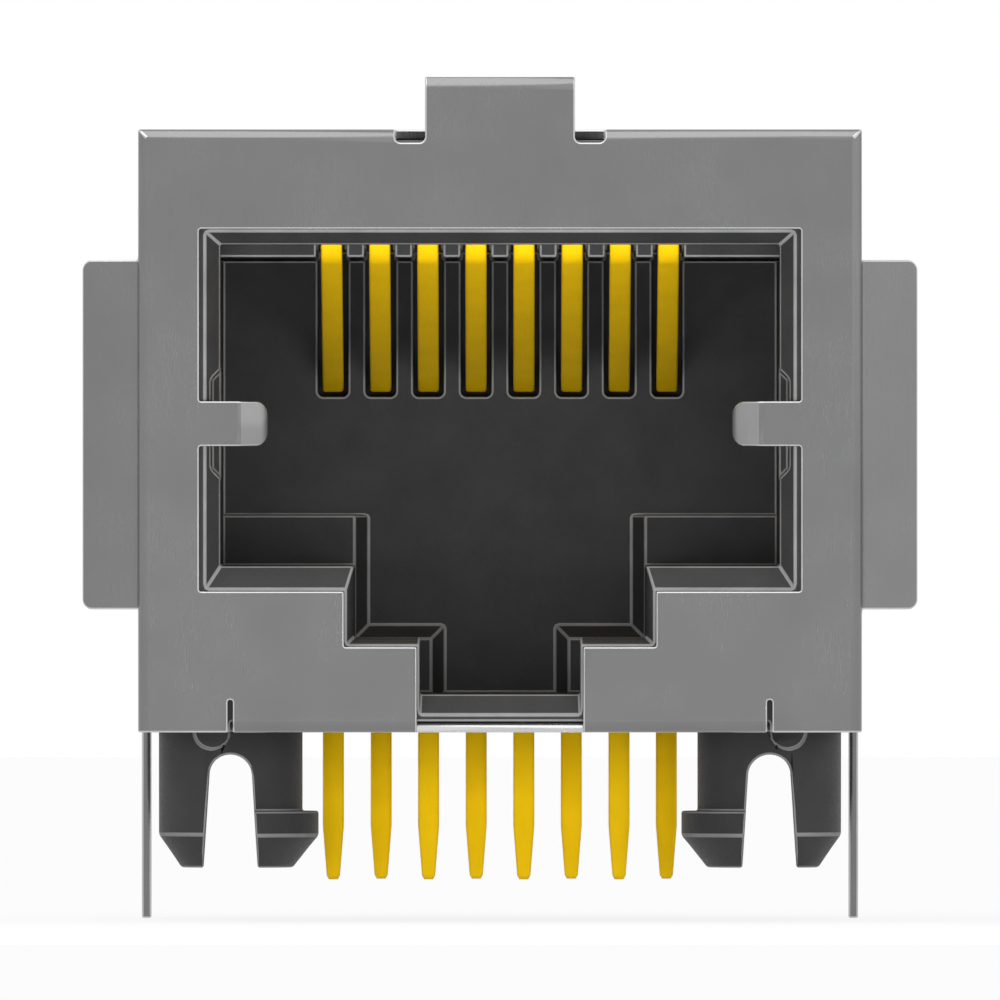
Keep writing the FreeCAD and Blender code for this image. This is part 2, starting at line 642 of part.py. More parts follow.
def add_comb(body):
    """Slots that keep the contacts' free ends apart."""
    across = f"({GROOVE_WIDTH} / 2)"
    inner = f"({across} - comb_round)"
    upper = f"({TONGUE_BOTTOM} - fit_gap)"
    corners = [(minus(inner), COMB_FLOOR), (inner, COMB_FLOOR),
               (across, f"{COMB_FLOOR} + comb_round"), (across, upper),
               (minus(across), upper), (minus(across), f"{COMB_FLOOR} + comb_round")]
    face = outline(body, "comb_slot_face", "XZ_Plane", minus("comb_reach"), corners,
                   {1: ("comb_round", 1), 5: ("comb_round", 1)}, shift=FIRST_CONTACT)
    slot = cut(body, "comb_slot", face, "comb_wall")
    repeat(body, "comb", [slot], "contact_pitch", CONTACTS)


def add_carrier_room(body):
    """The slot for the carrier's tongue and the bay for the rest of it, both open at the back."""
    upper = outline(body, "tongue_slot_face", "XZ_Plane", minus(CASE_REAR), block(
        minus(CARRIER_HALF), CARRIER_HALF, f"{TONGUE_BOTTOM} - fit_gap", f"{TONGUE_TOP} + fit_gap"))
    cut(body, "tongue_slot", upper, f"{CASE_REAR} + tongue_reach + tongue_room", forward=True)
    lower = outline(body, "rear_bay_face", "XZ_Plane", minus(CASE_REAR), block(
        minus(CARRIER_HALF), CARRIER_HALF, minus(BEYOND), f"{TONGUE_BOTTOM} - fit_gap"))
    cut(body, "rear_bay", lower, f"{CASE_REAR} - {CARRIER_FRONT}", forward=True)


def add_wall_hollows(body):
    """Hollows in the side walls, which the ground springs are pushed into."""
    rise = "(relief_rise / 2)"
    flat = f"({rise} - relief_sink)"
    face = outline(body, "hollow_face", "XZ_Plane", minus(CASE_FRONT), [
        (f"{BAY_HALF} - relief_sink", f"spring_level - {rise}"), (BAY_HALF, f"spring_level - {rise}"),
        (f"{BAY_HALF} + relief_sink", f"spring_level - {flat}"),
        (f"{BAY_HALF} + relief_sink", f"spring_level + {flat}"),
        (BAY_HALF, f"spring_level + {rise}"), (f"{BAY_HALF} - relief_sink", f"spring_level + {rise}")])
    hollow = cut(body, "wall_hollow", face, "relief_reach")
    mirror(body, "wall_hollows", [hollow])


def add_base(body):
    """Underneath: a recess for the shield's lower fold and a shallow ring round each post."""
    face = outline(body, "fold_recess_face", "XZ_Plane", minus(CASE_FRONT), block(
        minus(SLIT_AT), SLIT_AT, minus(BEYOND), "sheet_stock + shell_gap"))
    cut(body, "fold_recess", face, "fold_length - sheet_stock")
    ring = outline(body, "post_ring_face", "XZ_Plane", "0", block(
        "0", f"{HOOK_REACH} + post_clear", minus(BEYOND), "relief_depth"), shift=POST_AXIS)
    groove = body.newObject("PartDesign::Groove", "post_ring")
    groove.Profile = ring
    groove.ReferenceAxis = (ring, ["V_Axis"])
    groove.Angle = 360
    doc.recompute()
    mirror(body, "post_rings", [groove])


def turned(body, name, sketch, angle):
    """A revolution about the sketch's upright axis, half of the angle to each side."""
    solid = body.newObject("PartDesign::Revolution", name)
    solid.Profile = sketch
    solid.ReferenceAxis = (sketch, ["V_Axis"])
    solid.Angle = angle
    solid.Midplane = True
    doc.recompute()
    return solid


def add_posts(body):
    """Split guide posts, each with a hook on the leg that is nearer the middle of the jack."""
    across = "(post_width / 2)"
    root = "(relief_depth + fit_gap)"
    shank = turned(body, "post_shank", outline(body, "post_shank_face", "XZ_Plane", "0", [
        ("0", root), ("0", "-post_length"), (f"{across} - post_bevel", "-post_length"),
        (across, "post_point - post_length"), (across, root)], shift=POST_AXIS), 360)
    hook = turned(body, "post_hook", outline(body, "post_hook_face", "XZ_Plane", "0", [
        (minus("split_width / 2"), "-hook_drop"), (minus(HOOK_REACH), "-hook_drop"),
        (minus(HOOK_REACH), "-hook_drop - hook_land"),
        (minus(f"{HOOK_REACH} - hook_bevel"), "-post_length"),
        (minus("split_width / 2"), "-post_length")], shift=POST_AXIS), 180)
    nib = outline(body, "nib_face", "XZ_Plane", f"{across} + nib_rise", [
        ("nib_offset - nib_radius", root), ("nib_offset - nib_radius", "0"),
        ("nib_offset", "-nib_radius"), ("nib_offset + nib_radius", "0"),
        ("nib_offset + nib_radius", root)], {1: ("nib_radius", 1), 2: ("nib_radius", 1)},
        shift=POST_AXIS)
    bead = grow(body, "post_nib", nib, "nib_rise + nib_radius * 2", rearward=True)
    half = "(split_width / 2)"
    foot = "(-post_length - fit_gap)"
    split = outline(body, "split_face", "XZ_Plane", "0", [
        (f"-{half} - split_flare", foot), (f"{half} + split_flare", foot),
        (half, f"-split_drop - {half}"), ("0", "-split_drop"),
        (f"-{half}", f"-split_drop - {half}")],
        {2: (half, 1), 3: (half, 1)}, shift=POST_AXIS)
    gap = cut(body, "post_split", split, "post_width + hook_rise * 2 + nib_radius", symmetric=True)
    mirror(body, "posts", [shank, hook, bead, gap])


def add_lock_bumps(body):
    """A ramp on each side that snaps into the shield's window; the shield slides on from the front."""
    front = "(-lock_reach - lock_length / 2 + lock_gap)"
    rear = "(-lock_reach + lock_length / 2 - lock_gap)"
    crest = f"({CASE_HALF} + shell_gap + lock_rise)"
    face = outline(body, "bump_face", "XY_Plane", "lock_level - lock_height / 2 + lock_gap", [
        (f"{CASE_HALF} - sheet_stock", front), (CASE_HALF, front),
        (crest, f"{rear} - sheet_stock"), (crest, rear), (f"{CASE_HALF} - sheet_stock", rear)])
    bump = grow(body, "lock_bump", face, "lock_height - lock_gap * 2")
    mirror(body, "lock_bumps", [bump])


def build_housing():
    body = new_body("housing")
    add_case(body)
    add_plug_bay(body)
    add_stops(body)
    add_comb(body)
    add_carrier_room(body)
    add_wall_hollows(body)
    add_base(body)
    add_posts(body)
    add_lock_bumps(body)
    return body


# The carrier, the tail guide and the contacts


def add_channels(body, name, row, shift):
    """The grooves that one row of contacts lies in, over the carrier and down through it."""
    floor = f"({RUN_LEVEL} - contact_thick / 2 - fit_gap)"
    front = f"({row} - contact_thick / 2 - fit_gap)"
    rear = f"({row} + contact_thick / 2 + fit_gap)"
    heel = "(heel_radius - contact_thick / 2 - fit_gap)"
    ahead = f"({CARRIER_FRONT} - heel_radius)"
    face = outline(body, f"{name}_face", "YZ_Plane", shift, [
        (ahead, f"{TONGUE_TOP} + {BEYOND}"), (ahead, floor),
        (f"{front} - {heel}", floor), (front, f"{floor} - {heel}"),
        (front, GUIDE_TOP), (rear, GUIDE_TOP), (rear, f"{TONGUE_TOP} + {BEYOND}")],
        {2: (heel, -1)})
    channel = cut(body, name, face, "contact_width + fit_gap * 2", symmetric=True)
    repeat(body, f"{name}s", [channel], "contact_pitch * 2", CONTACTS // 2)


def build_carrier():
    """A flat tongue over the plug's nose and the block behind it that holds the contacts' legs."""
    body = new_body("contact_carrier")
    front = f"({CARRIER_FRONT} + fit_gap)"
    side = outline(body, "carrier_side", "YZ_Plane", "0", [
        ("-tongue_reach", TONGUE_BOTTOM), (front, TONGUE_BOTTOM), (front, f"{GUIDE_TOP} + fit_gap"),
        (CASE_REAR, f"{GUIDE_TOP} + fit_gap"), (CASE_REAR, TONGUE_TOP), ("-tongue_reach", TONGUE_TOP)])
    grow(body, "carrier_block", side, f"({CARRIER_HALF} - fit_gap) * 2", symmetric=True)
    nose = "(wrap_radius - contact_thick / 2 - fit_gap)"
    ahead = f"(-tongue_reach - {BEYOND})"
    groove = outline(body, "nose_groove_face", "YZ_Plane", FIRST_CONTACT, [
        (ahead, f"{TONGUE_TOP} + {BEYOND}"), (ahead, f"{TONGUE_BOTTOM} - {BEYOND}"),
        (front, f"{TONGUE_BOTTOM} - {BEYOND}"), (front, f"{WRAP_Z} - {nose}"),
        (WRAP_Y, f"{WRAP_Z} - {nose}"), (f"{WRAP_Y} - {nose}", WRAP_Z), (WRAP_Y, f"{WRAP_Z} + {nose}"),
        (front, f"{WRAP_Z} + {nose}"), (front, f"{TONGUE_TOP} + {BEYOND}")],
        {4: (nose, -1), 5: (nose, -1)})
    slot = cut(body, "nose_groove", groove, GROOVE_WIDTH, symmetric=True)
    repeat(body, "nose_grooves", [slot], "contact_pitch", CONTACTS)
    add_channels(body, "front_channel", FIRST_ROW, FIRST_CONTACT)
    add_channels(body, "rear_channel", SECOND_ROW, f"{FIRST_CONTACT} + contact_pitch")
    return body


def add_guide_holes(body, name, row, shift):
    """One row of holes for the contacts' tails."""
    across = "(contact_width / 2 + fit_gap)"
    along = "(contact_thick / 2 + fit_gap)"
    face = outline(body, f"{name}_face", "XY_Plane", f"{GUIDE_TOP} + fit_gap", block(
        minus(across), across, f"{row} - {along}", f"{row} + {along}"), shift=shift)
    hole = cut(body, name, face, "guide_thick + fit_gap * 2")
    repeat(body, f"{name}s", [hole], "contact_pitch * 2", CONTACTS // 2)


def build_tail_guide():
    """The plate under the carrier that spaces the tails for the board's holes."""
    body = new_body("tail_guide")
    face = outline(body, "guide_face", "XY_Plane", "guide_rise", block(
        minus(f"{CARRIER_HALF} - fit_gap"), f"{CARRIER_HALF} - fit_gap",
        f"{CARRIER_FRONT} + fit_gap", CASE_REAR))
    grow(body, "guide_plate", face, "guide_thick")
    add_guide_holes(body, "front_hole", FIRST_ROW, FIRST_CONTACT)
    add_guide_holes(body, "rear_hole", SECOND_ROW, f"{FIRST_CONTACT} + contact_pitch")
    return body


def build_contact(number):
    """A flat strip: up from the board, forward over the tongue, round its edge and back down."""
    body = new_body(f"contact_{number}")
    row = FIRST_ROW if number % 2 else SECOND_ROW
    corners, arcs = strip_outline((row, "-tail_length"), "90", "contact_thick", [
        ("run", f"tail_length + {RUN_LEVEL} - heel_radius"), ("bend", "heel_radius", "90"),
        ("run", f"{row} - heel_radius - {WRAP_Y}"), ("bend", "wrap_radius", LEG_TURN),
        ("run", f"(tip_reach - {LEG_Y}) / cos(spring_slope)")])
    side = outline(body, f"contact_side_{number}", "YZ_Plane", "0", corners, arcs)
    grow(body, f"contact_strip_{number}", side, "contact_width", symmetric=True)
    taper = outline(body, f"tail_point_{number}", "XZ_Plane", minus(row), [
        ("tail_tip / 2", minus(f"tail_length + {BEYOND}")), ("tail_tip / 2", "-tail_length"),
        ("contact_width / 2", "tail_taper - tail_length"),
        ("contact_width", "tail_taper - tail_length"),
        ("contact_width", minus(f"tail_length + {BEYOND}"))])
    half = cut(body, f"tail_bevel_{number}", taper, "contact_thick * 2", symmetric=True)
    mirror(body, f"tail_bevels_{number}", [half])
    body.setExpression("Placement.Base.x", bound(f"{FIRST_CONTACT} + contact_pitch * {number - 1}"))
    return body


def check(parts):
    """Stops the script if any object failed or any piece is not one sound solid."""
    doc.recompute()
    for item in doc.Objects:
        if "Invalid" in item.State or "Error" in item.State:
            raise RuntimeError(f"{item.Name} failed")
    for part in parts:
        if part.Shape.isNull() or not part.Shape.isValid():
            raise RuntimeError(f"{part.Label} has no valid shape")
        if len(part.Shape.Solids) != 1:
            raise RuntimeError(f"{part.Label} is {len(part.Shape.Solids)} solids")


def main():
    fill_sheet()
    parts = [build_shield(), build_housing(), build_carrier(), build_tail_guide()]
    parts += [build_contact(number) for number in range(1, CONTACTS + 1)]
    check(parts)
    os.makedirs("parts", exist_ok=True)
    for part in parts:
        part.Shape.exportStep(f"parts/{part.Label}.step")
        print(f"{part.Label}: {part.Shape.Volume:.3f} cubic mm")


main()
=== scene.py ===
"""Dresses a shielded eight-way board jack: plated sheet, black mouldings and gold contacts.

Everything is in metres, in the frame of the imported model: X to the right of somebody facing
the plug opening, Y from the opening to the back, Z up from the board.
"""
import json
import math

import bmesh
import bpy
import numpy as np
from bpy.props import FloatProperty, FloatVectorProperty, IntProperty, PointerProperty
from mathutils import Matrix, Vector
from mathutils.bvhtree import BVHTree


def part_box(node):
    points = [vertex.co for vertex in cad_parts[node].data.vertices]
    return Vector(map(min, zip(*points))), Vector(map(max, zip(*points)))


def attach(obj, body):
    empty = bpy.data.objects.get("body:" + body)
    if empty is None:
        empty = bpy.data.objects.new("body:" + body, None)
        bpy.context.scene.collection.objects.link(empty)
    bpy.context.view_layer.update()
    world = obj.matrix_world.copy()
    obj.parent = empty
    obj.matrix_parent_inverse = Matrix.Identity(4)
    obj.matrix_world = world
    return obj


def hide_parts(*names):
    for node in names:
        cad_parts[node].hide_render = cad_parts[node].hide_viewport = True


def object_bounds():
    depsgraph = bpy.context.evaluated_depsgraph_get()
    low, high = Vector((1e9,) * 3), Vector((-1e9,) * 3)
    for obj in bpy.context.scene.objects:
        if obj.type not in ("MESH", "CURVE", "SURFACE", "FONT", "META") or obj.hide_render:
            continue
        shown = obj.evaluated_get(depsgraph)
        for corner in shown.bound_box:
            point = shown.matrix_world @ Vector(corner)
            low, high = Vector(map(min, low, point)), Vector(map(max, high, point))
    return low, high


bl_info = {
    "name": "Board jack finish",
    "version": (1, 0, 0),
    "blender": (4, 5, 0),
    "location": "View3D > Sidebar > Jack",
    "description": "Surfaces, fine edges, stage and camera for a shielded board jack",
    "category": "Object",
}

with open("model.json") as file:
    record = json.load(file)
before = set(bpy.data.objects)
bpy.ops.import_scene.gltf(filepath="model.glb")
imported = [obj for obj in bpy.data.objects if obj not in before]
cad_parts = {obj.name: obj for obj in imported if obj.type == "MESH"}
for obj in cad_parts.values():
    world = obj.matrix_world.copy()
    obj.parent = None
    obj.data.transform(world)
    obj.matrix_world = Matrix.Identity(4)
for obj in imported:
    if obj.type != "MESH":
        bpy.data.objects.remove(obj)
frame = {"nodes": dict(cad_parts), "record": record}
cad_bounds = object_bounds()

MM = 0.001
BODY = "root"
CONTACTS = 8
MOUNTS = {mount["name"]: mount for mount in frame["record"]["mounts"]}
FRONT_PLANE = MOUNTS["panel_face"]["pos_m"][1]
MOUTH = Vector(MOUNTS["plug_socket"]["pos_m"])

# The photograph's frame: its size, its scale, and the row where the jack's base lies.
PHOTO_PIXELS = 1000
PIXELS_PER_MM = 47.5
BASE_ROW = 732.5

# Where the rounding works: an edge is sharp from these turns on, in degrees.
SHEET_SHARP = 35
MOULDED_SHARP = 28

# The high lamps: the way to each from the plug opening, and how wide it looks from there.
KEY_WAY, KEY_SPREAD = Vector((-0.2, -0.28, 0.94)), math.radians(70)
FILL_WAY, FILL_SPREAD = Vector((0.75, -0.5, 0.43)), math.radians(80)

# The low lamp: how far before the front face, how high above the board, its width and height.
LOW_AHEAD, LOW_LEVEL = 45 * MM, 1.5 * MM
LOW_WIDTH, LOW_HEIGHT = 40 * MM, 8 * MM

# The floor: how far below the longest tails, its radius, and the corners of its rim.
FLOOR_GAP = 0.02 * MM
FLOOR_RADIUS = 0.6
FLOOR_CORNERS = 96

# How a pattern is stretched: not at all, upright, or along a contact strip.
EVEN = (1, 1, 1)
UPRIGHT = (1, 1, 0.04)
ALONG_STRIP = (1, 0.05, 0.05)


class JackFinish(bpy.types.PropertyGroup):
    """Colours and roughness of the sheet, the mouldings and the contacts."""

    sheet_colour: FloatVectorProperty(
        name="Sheet colour", description="Plated steel of the shield", subtype="COLOR",
        size=3, min=0, max=1, default=(0.192, 0.192, 0.194))
    sheet_roughness: FloatProperty(
        name="Sheet roughness", description="Middle of the shield's roughness",
        subtype="FACTOR", min=0, max=1, default=0.22)
    # Lighter colour of the sheet's rounded cut edges: part burnished bare steel, part painted
    # highlight standing for the light lines along them.
    sheet_edge_burnish_highlight: FloatVectorProperty(
        name="Sheet edge colour", description="Burnished metal along the sheet's cut edges",
        subtype="COLOR", size=3, min=0, max=1, default=(0.49, 0.49, 0.49))
    # Painted highlight: the ground springs' tips past their bend are painted lighter, standing for
    # the light that their tilted faces catch.
    tip_highlight_colour: FloatVectorProperty(
        name="Rubbed colour", description="Ground springs' tips, rubbed by the plugs",
        subtype="COLOR", size=3, min=0, max=1, default=(0.275, 0.275, 0.277))
    plastic_colour: FloatVectorProperty(
        name="Plastic colour", description="Black of the mouldings", subtype="COLOR",
        size=3, min=0, max=1, default=(0.026, 0.026, 0.027))
    plastic_roughness: FloatProperty(
        name="Plastic roughness", description="Middle of the mouldings' roughness",
        subtype="FACTOR", min=0, max=1, default=0.52)
    # Painted highlight: the mouldings' rounded edges are painted a much lighter black, standing
    # for the light lines along them.
    plastic_edge_highlight_colour: FloatVectorProperty(
        name="Plastic edge colour", description="Rubbed black along the mouldings' edges",
        subtype="COLOR", size=3, min=0, max=1, default=(0.17, 0.17, 0.17))
    gold_colour: FloatVectorProperty(
        name="Gold colour", description="Plating of the contacts", subtype="COLOR",
        size=3, min=0, max=1, default=(0.80, 0.50, 0.004))
    gold_roughness: FloatProperty(
        name="Gold roughness", description="Middle of the plating's roughness",
        subtype="FACTOR", min=0, max=1, default=0.38)


class JackEdges(bpy.types.PropertyGroup):
    """How much each kind of edge is rounded."""

    sheet_edge: FloatProperty(
        name="Sheet edge", description="Rounding of the sheet's cut edges", unit="LENGTH",
        min=0, default=0.035 * MM)
    moulded_edge: FloatProperty(
        name="Moulded edge", description="Rounding of the mouldings' edges", unit="LENGTH",
        min=0, default=0.045 * MM)
    # Painted highlight: the lip of the lower fold below the latch's lever, this wide, is painted
    # in the lighter edge material.
    lip_highlight_width: FloatProperty(
        name="Lip width", description="Rubbed lip of the lower fold, below the latch's lever",
        unit="LENGTH", default=3.46 * MM)
    # The ground springs' tips past this bend are painted lighter as a highlight.
    tip_bend: FloatProperty(
        name="Tip bend", description="From the middle out to the bend of a ground spring",
        unit="LENGTH", default=5.45 * MM)
    rounds: IntProperty(
        name="Steps", description="Faces across a rounded edge", min=1, max=6, default=2)
    post_radius: FloatProperty(
        name="Post radius", description="Radius of a guide post", unit="LENGTH",
        default=1.525 * MM)
    post_spacing: FloatProperty(
        name="Post spacing", description="Between the two posts' axes", unit="LENGTH",
        default=11.43 * MM)
    hook_reach: FloatProperty(
        name="Hook radius", description="Radius of a post's hook", unit="LENGTH",
        default=1.865 * MM)


class JackContacts(bpy.types.PropertyGroup):
    """The bends of the contact strips, measured at the middle of the strip."""

    thickness: FloatProperty(
        name="Thickness", description="Thickness of a strip", unit="LENGTH", default=0.30 * MM)
    coining: FloatProperty(
        name="Coining", description="Rounding of a strip's long edges", unit="LENGTH",
        default=0.055 * MM)
    wrap_radius: FloatProperty(
        name="Front bend", description="Radius of the bend at the tongue's edge",
        unit="LENGTH", default=0.50 * MM)
    heel_radius: FloatProperty(
        name="Rear bend", description="Radius of the bend above the tail", unit="LENGTH",
        default=0.45 * MM)
    slope: FloatProperty(
        name="Slope", description="Slope of the sprung leg", subtype="ANGLE",
        default=math.radians(17.2))
    tip_reach: FloatProperty(
        name="Tip", description="How far back the free end lies", unit="LENGTH",
        default=4.0 * MM)
    tail_taper: FloatProperty(
        name="Tail taper", description="Length of the taper at a tail's end", unit="LENGTH",
        default=1.15 * MM)
    tail_tip: FloatProperty(
        name="Tail tip", description="Width of a tail at its end", unit="LENGTH",
        default=0.27 * MM)


class JackStudio(bpy.types.PropertyGroup):
    """Floor, lamps and camera."""

    lens: FloatProperty(
        name="Lens",
        description="Focal length; long, because the photograph has no vanishing point",
        subtype="DISTANCE_CAMERA", default=1600.0)
    floor_colour: FloatVectorProperty(
        name="Floor colour", description="Plain pale floor", subtype="COLOR", size=3,
        min=0, max=1, default=(0.9, 0.9, 0.9))
    floor_lift: FloatProperty(
        name="Floor lift", description="Share of plain white that the camera sees in the floor",
        subtype="FACTOR", min=0, max=1, default=0.86)
    surround: FloatProperty(
        name="Surround", description="Strength of the light from all round", min=0, default=0.3)
    key: FloatProperty(
        name="Key lamp",
        description="Light of the lamp at the upper left, in watts on a square metre",
        min=0, default=1.6)
    fill: FloatProperty(
        name="Fill lamp", description="Light of the lamp at the upper right", min=0, default=0.4)
    front: FloatProperty(
        name="Front lamp", description="Power of the low lamp that lights the plug opening",
        unit="POWER", min=0, default=0.029)


# Meshes


def mesh_from_rings(name, rings):
    """A closed mesh from an array of rings of points.

    rings has the shape (rings, points, 3).  Face (i, k) joins points k and k + 1 of ring i to
    the same points of ring i + 1, and each end ring is closed by one face.
    """
    count, around = rings.shape[:2]
    index = np.arange(count * around).reshape(count, around)
    here, there = index[:-1], index[1:]
    sides = np.stack(
        [here, np.roll(here, -1, 1), np.roll(there, -1, 1), there], -1).reshape(-1, 4)
    faces = sides.tolist() + [index[0][::-1].tolist(), index[-1].tolist()]
    mesh = bpy.data.meshes.new(name)
    mesh.from_pydata(rings.reshape(-1, 3).tolist(), [], faces)
    mesh.update()
    return mesh


def rounded_section(across, through, corner, steps=4):
    """Points round a rectangle with rounded corners, as an array (count, points, 2).

    Each corner is a quarter circle of the given radius whose centre lies that far inside the
    rectangle: point = centre + radius * (cos angle, sin angle).  across, through and corner
    hold one value for each section, so the whole strip is worked out at once.
    """
    angles = np.linspace(0, math.pi / 2, steps)[None, :] + np.arange(4)[:, None] * math.pi / 2
    signs = np.array([(1, 1), (-1, 1), (-1, -1), (1, -1)], float)
    half = np.stack([across, through], -1) / 2 - corner[:, None]
    centres = half[:, None, None, :] * signs[None, :, None, :]
    around = np.stack([np.cos(angles), np.sin(angles)], -1)[None] * corner[:, None, None, None]
    return (centres + around).reshape(len(across), -1, 2)


def bent_line(moves, start, heading, spacing):
    """Points, directions and lengths run along a flat line of straight runs and bends.

    A run of length L at heading h goes from p to p + L (cos h, sin h).  A bend of radius r
    through the angle a keeps its centre r to the side, so the point after an angle b is
    p + r (sin(h + b) - sin h, cos h - cos(h + b)) for a bend to the left.  Points lie no
    further apart than spacing.
    """
    place, angle = np.array(start, float), heading
    points, angles = [place[None]], [np.array([angle])]
    for kind, size, turn in moves:
        if kind == "run":
            share = np.linspace(0, 1, max(2, int(size / spacing)))[1:]
            along = np.array([math.cos(angle), math.sin(angle)])
            points.append(place + share[:, None] * size * along)
            angles.append(np.full(len(share), angle))
        else:
            side = math.copysign(size, turn)
            share = np.linspace(0, 1, max(8, int(abs(turn) * size / spacing)))[1:]
            swept = angle + share * turn
            points.append(place + side * np.stack(
                [np.sin(swept) - math.sin(angle), math.cos(angle) - np.cos(swept)], -1))
            angles.append(swept)
            angle += turn
        place = points[-1][-1]
    points, angles = np.concatenate(points), np.concatenate(angles)
    steps = np.linalg.norm(np.diff(points, axis=0), axis=1)
    return points, angles, np.concatenate([[0], np.cumsum(steps)])


def contact_rings(low, high, shape):
    """A contact strip: the rounded section carried along the bent line in the YZ plane.

    Low down the strip narrows evenly to its tip, and both its ends are drawn in over a short
    length, as width * (0.7 + 0.3 * sqrt(1 - (1 - s)^2)) with s from 0 at the end to 1.  The
    corners' radius stays a little below half of the strip's thickness.
    """
    spacing, drawn = 0.08 * MM, 0.1 * MM
    half = shape.thickness / 2
    row, run_level = high.y - half, high.z - half
    wrap_y = low.y + half + shape.wrap_radius
    wrap_turn = math.pi - shape.slope
    leg_y = wrap_y - shape.wrap_radius * math.sin(wrap_turn)
    moves = [
        ("run", run_level - shape.heel_radius - low.z, 0),
        ("bend", shape.heel_radius, math.pi / 2),
        ("run", row - shape.heel_radius - wrap_y, 0),
        ("bend", shape.wrap_radius, wrap_turn),
        ("run", (shape.tip_reach - leg_y) / math.cos(shape.slope), 0)]
    points, angles, run = bent_line(moves, (row, low.z), math.pi / 2, spacing)
    width = high.x - low.x
    tapered = shape.tail_tip + (width - shape.tail_tip) * run / shape.tail_taper
    tapered = np.minimum(tapered, width)
    from_end = np.clip(np.minimum(run, run[-1] - run) / drawn, 0, 1)
    ease = 0.7 + 0.3 * np.sqrt(1 - (1 - from_end) ** 2)
    across, through = tapered * ease, np.full(len(run), shape.thickness) * ease
    section = rounded_section(across, through, np.minimum(shape.coining, through / 2.2))
    side = np.stack([-np.sin(angles), np.cos(angles)], -1)
    offset = section[:, :, 1:2] * side[:, None, :]
    middle = (low.x + high.x) / 2
    flat = points[:, None, :] + offset
    return np.concatenate([middle + section[:, :, :1], flat], -1)


def merged_copy(node, name, materials):
    """A new object with a node's surface: its loose triangles joined and flat areas made whole."""
    same_point, same_plane = 0.0004 * MM, math.radians(0.5)
    mesh = frame["nodes"][node].data.copy()
    mesh.name = name
    mesh.materials.clear()
    for material in materials:
        mesh.materials.append(material)
    work = bmesh.new()
    work.from_mesh(mesh)
    bmesh.ops.remove_doubles(work, verts=work.verts, dist=same_point)
    bmesh.ops.dissolve_limit(
        work, angle_limit=same_plane, verts=work.verts, edges=work.edges,
        use_dissolve_boundaries=False, delimit={"NORMAL"})
    work.to_mesh(mesh)
    work.free()
    piece = bpy.data.objects.new(name, mesh)
    bpy.context.scene.collection.objects.link(piece)
    return piece


def weigh_edges(mesh, width, sharp):
    """Marks the edges to round, less where their neighbours leave little room.

    An edge that turns by more than sharp gets the weight min(1, 0.4 * room / width).  Room is
    the least of length * min(1, tan(angle / 2)) over the edges that meet one of its ends, where
    angle is the one between the two edges; one that carries on nearly in line doesn't count.
    """
    in_line = math.radians(143)
    work = bmesh.new()
    work.from_mesh(mesh)
    weight = work.edges.layers.float.new("bevel_weight_edge")
    for edge in work.edges:
        if not edge.is_manifold or edge.calc_face_angle() < sharp:
            continue
        room = [width * 3]
        for vert in edge.verts:
            along = edge.other_vert(vert).co - vert.co
            sides = [other.other_vert(vert).co - vert.co
                     for other in vert.link_edges if other != edge]
            room += [side.length * min(1, math.tan(along.angle(side) / 2))
                     for side in sides if along.angle(side) < in_line]
        edge[weight] = min(1, 0.4 * min(room) / width)
    work.to_mesh(mesh)
    work.free()


def settle_points(mesh, plain, reach):
    """Puts the few points that the rounding threw off the plain surface back on it."""
    for point in mesh.vertices:
        nearest, _, _, distance = plain.find_nearest(point.co)
        if distance > reach:
            point.co = nearest


def round_edges(piece, width, steps, sharp):
    """Rounds a piece's sharp edges, in its second material with its painted edge highlight, and
    keeps its flat faces flat.

    The rounding is applied, so that the normals can be set afterwards.  Its points lie at most
    (sqrt 2 - 1) * width from a square edge, and those past strayed * width are put back.
    """
    strayed = 0.6
    plain = BVHTree.FromPolygons(
        [point.co.copy() for point in piece.data.vertices],
        [face.vertices[:] for face in piece.data.polygons])
    weigh_edges(piece.data, width, math.radians(sharp))
    piece.data.shade_smooth()
    bevel = piece.modifiers.new("edge", "BEVEL")
    bevel.width = width
    bevel.segments = steps
    bevel.limit_method = "WEIGHT"
    bevel.use_clamp_overlap = False
    bevel.loop_slide = False
    bevel.miter_outer = "MITER_ARC"
    bevel.face_strength_mode = "FSTR_ALL"
    # The rounded faces take the second material, whose lighter colour is a painted edge highlight
    # (on the sheet also burnished bare metal).
    bevel.material = 1
    weighted = piece.modifiers.new("shading", "WEIGHTED_NORMAL")
    weighted.keep_sharp = True
    weighted.use_face_influence = True
    graph = bpy.context.evaluated_depsgraph_get()
    rounded = bpy.data.meshes.new_from_object(piece.evaluated_get(graph))
    rounded.name = piece.data.name
    settle_points(rounded, plain, strayed * width)
    piece.modifiers.clear()
    piece.data = rounded


def mark_faces(mesh, low, high, index):
    """Gives the faces whose middle lies between the corners low and high another material."""
    middles = np.empty(len(mesh.polygons) * 3)
    mesh.polygons.foreach_get("center", middles)
    middles = middles.reshape(-1, 3)
    chosen = ((middles > low) & (middles < high)).all(1)
    indices = np.empty(len(mesh.polygons), np.int32)
    mesh.polygons.foreach_get("material_index", indices)
    indices[chosen] = index
    mesh.polygons.foreach_set("material_index", indices)


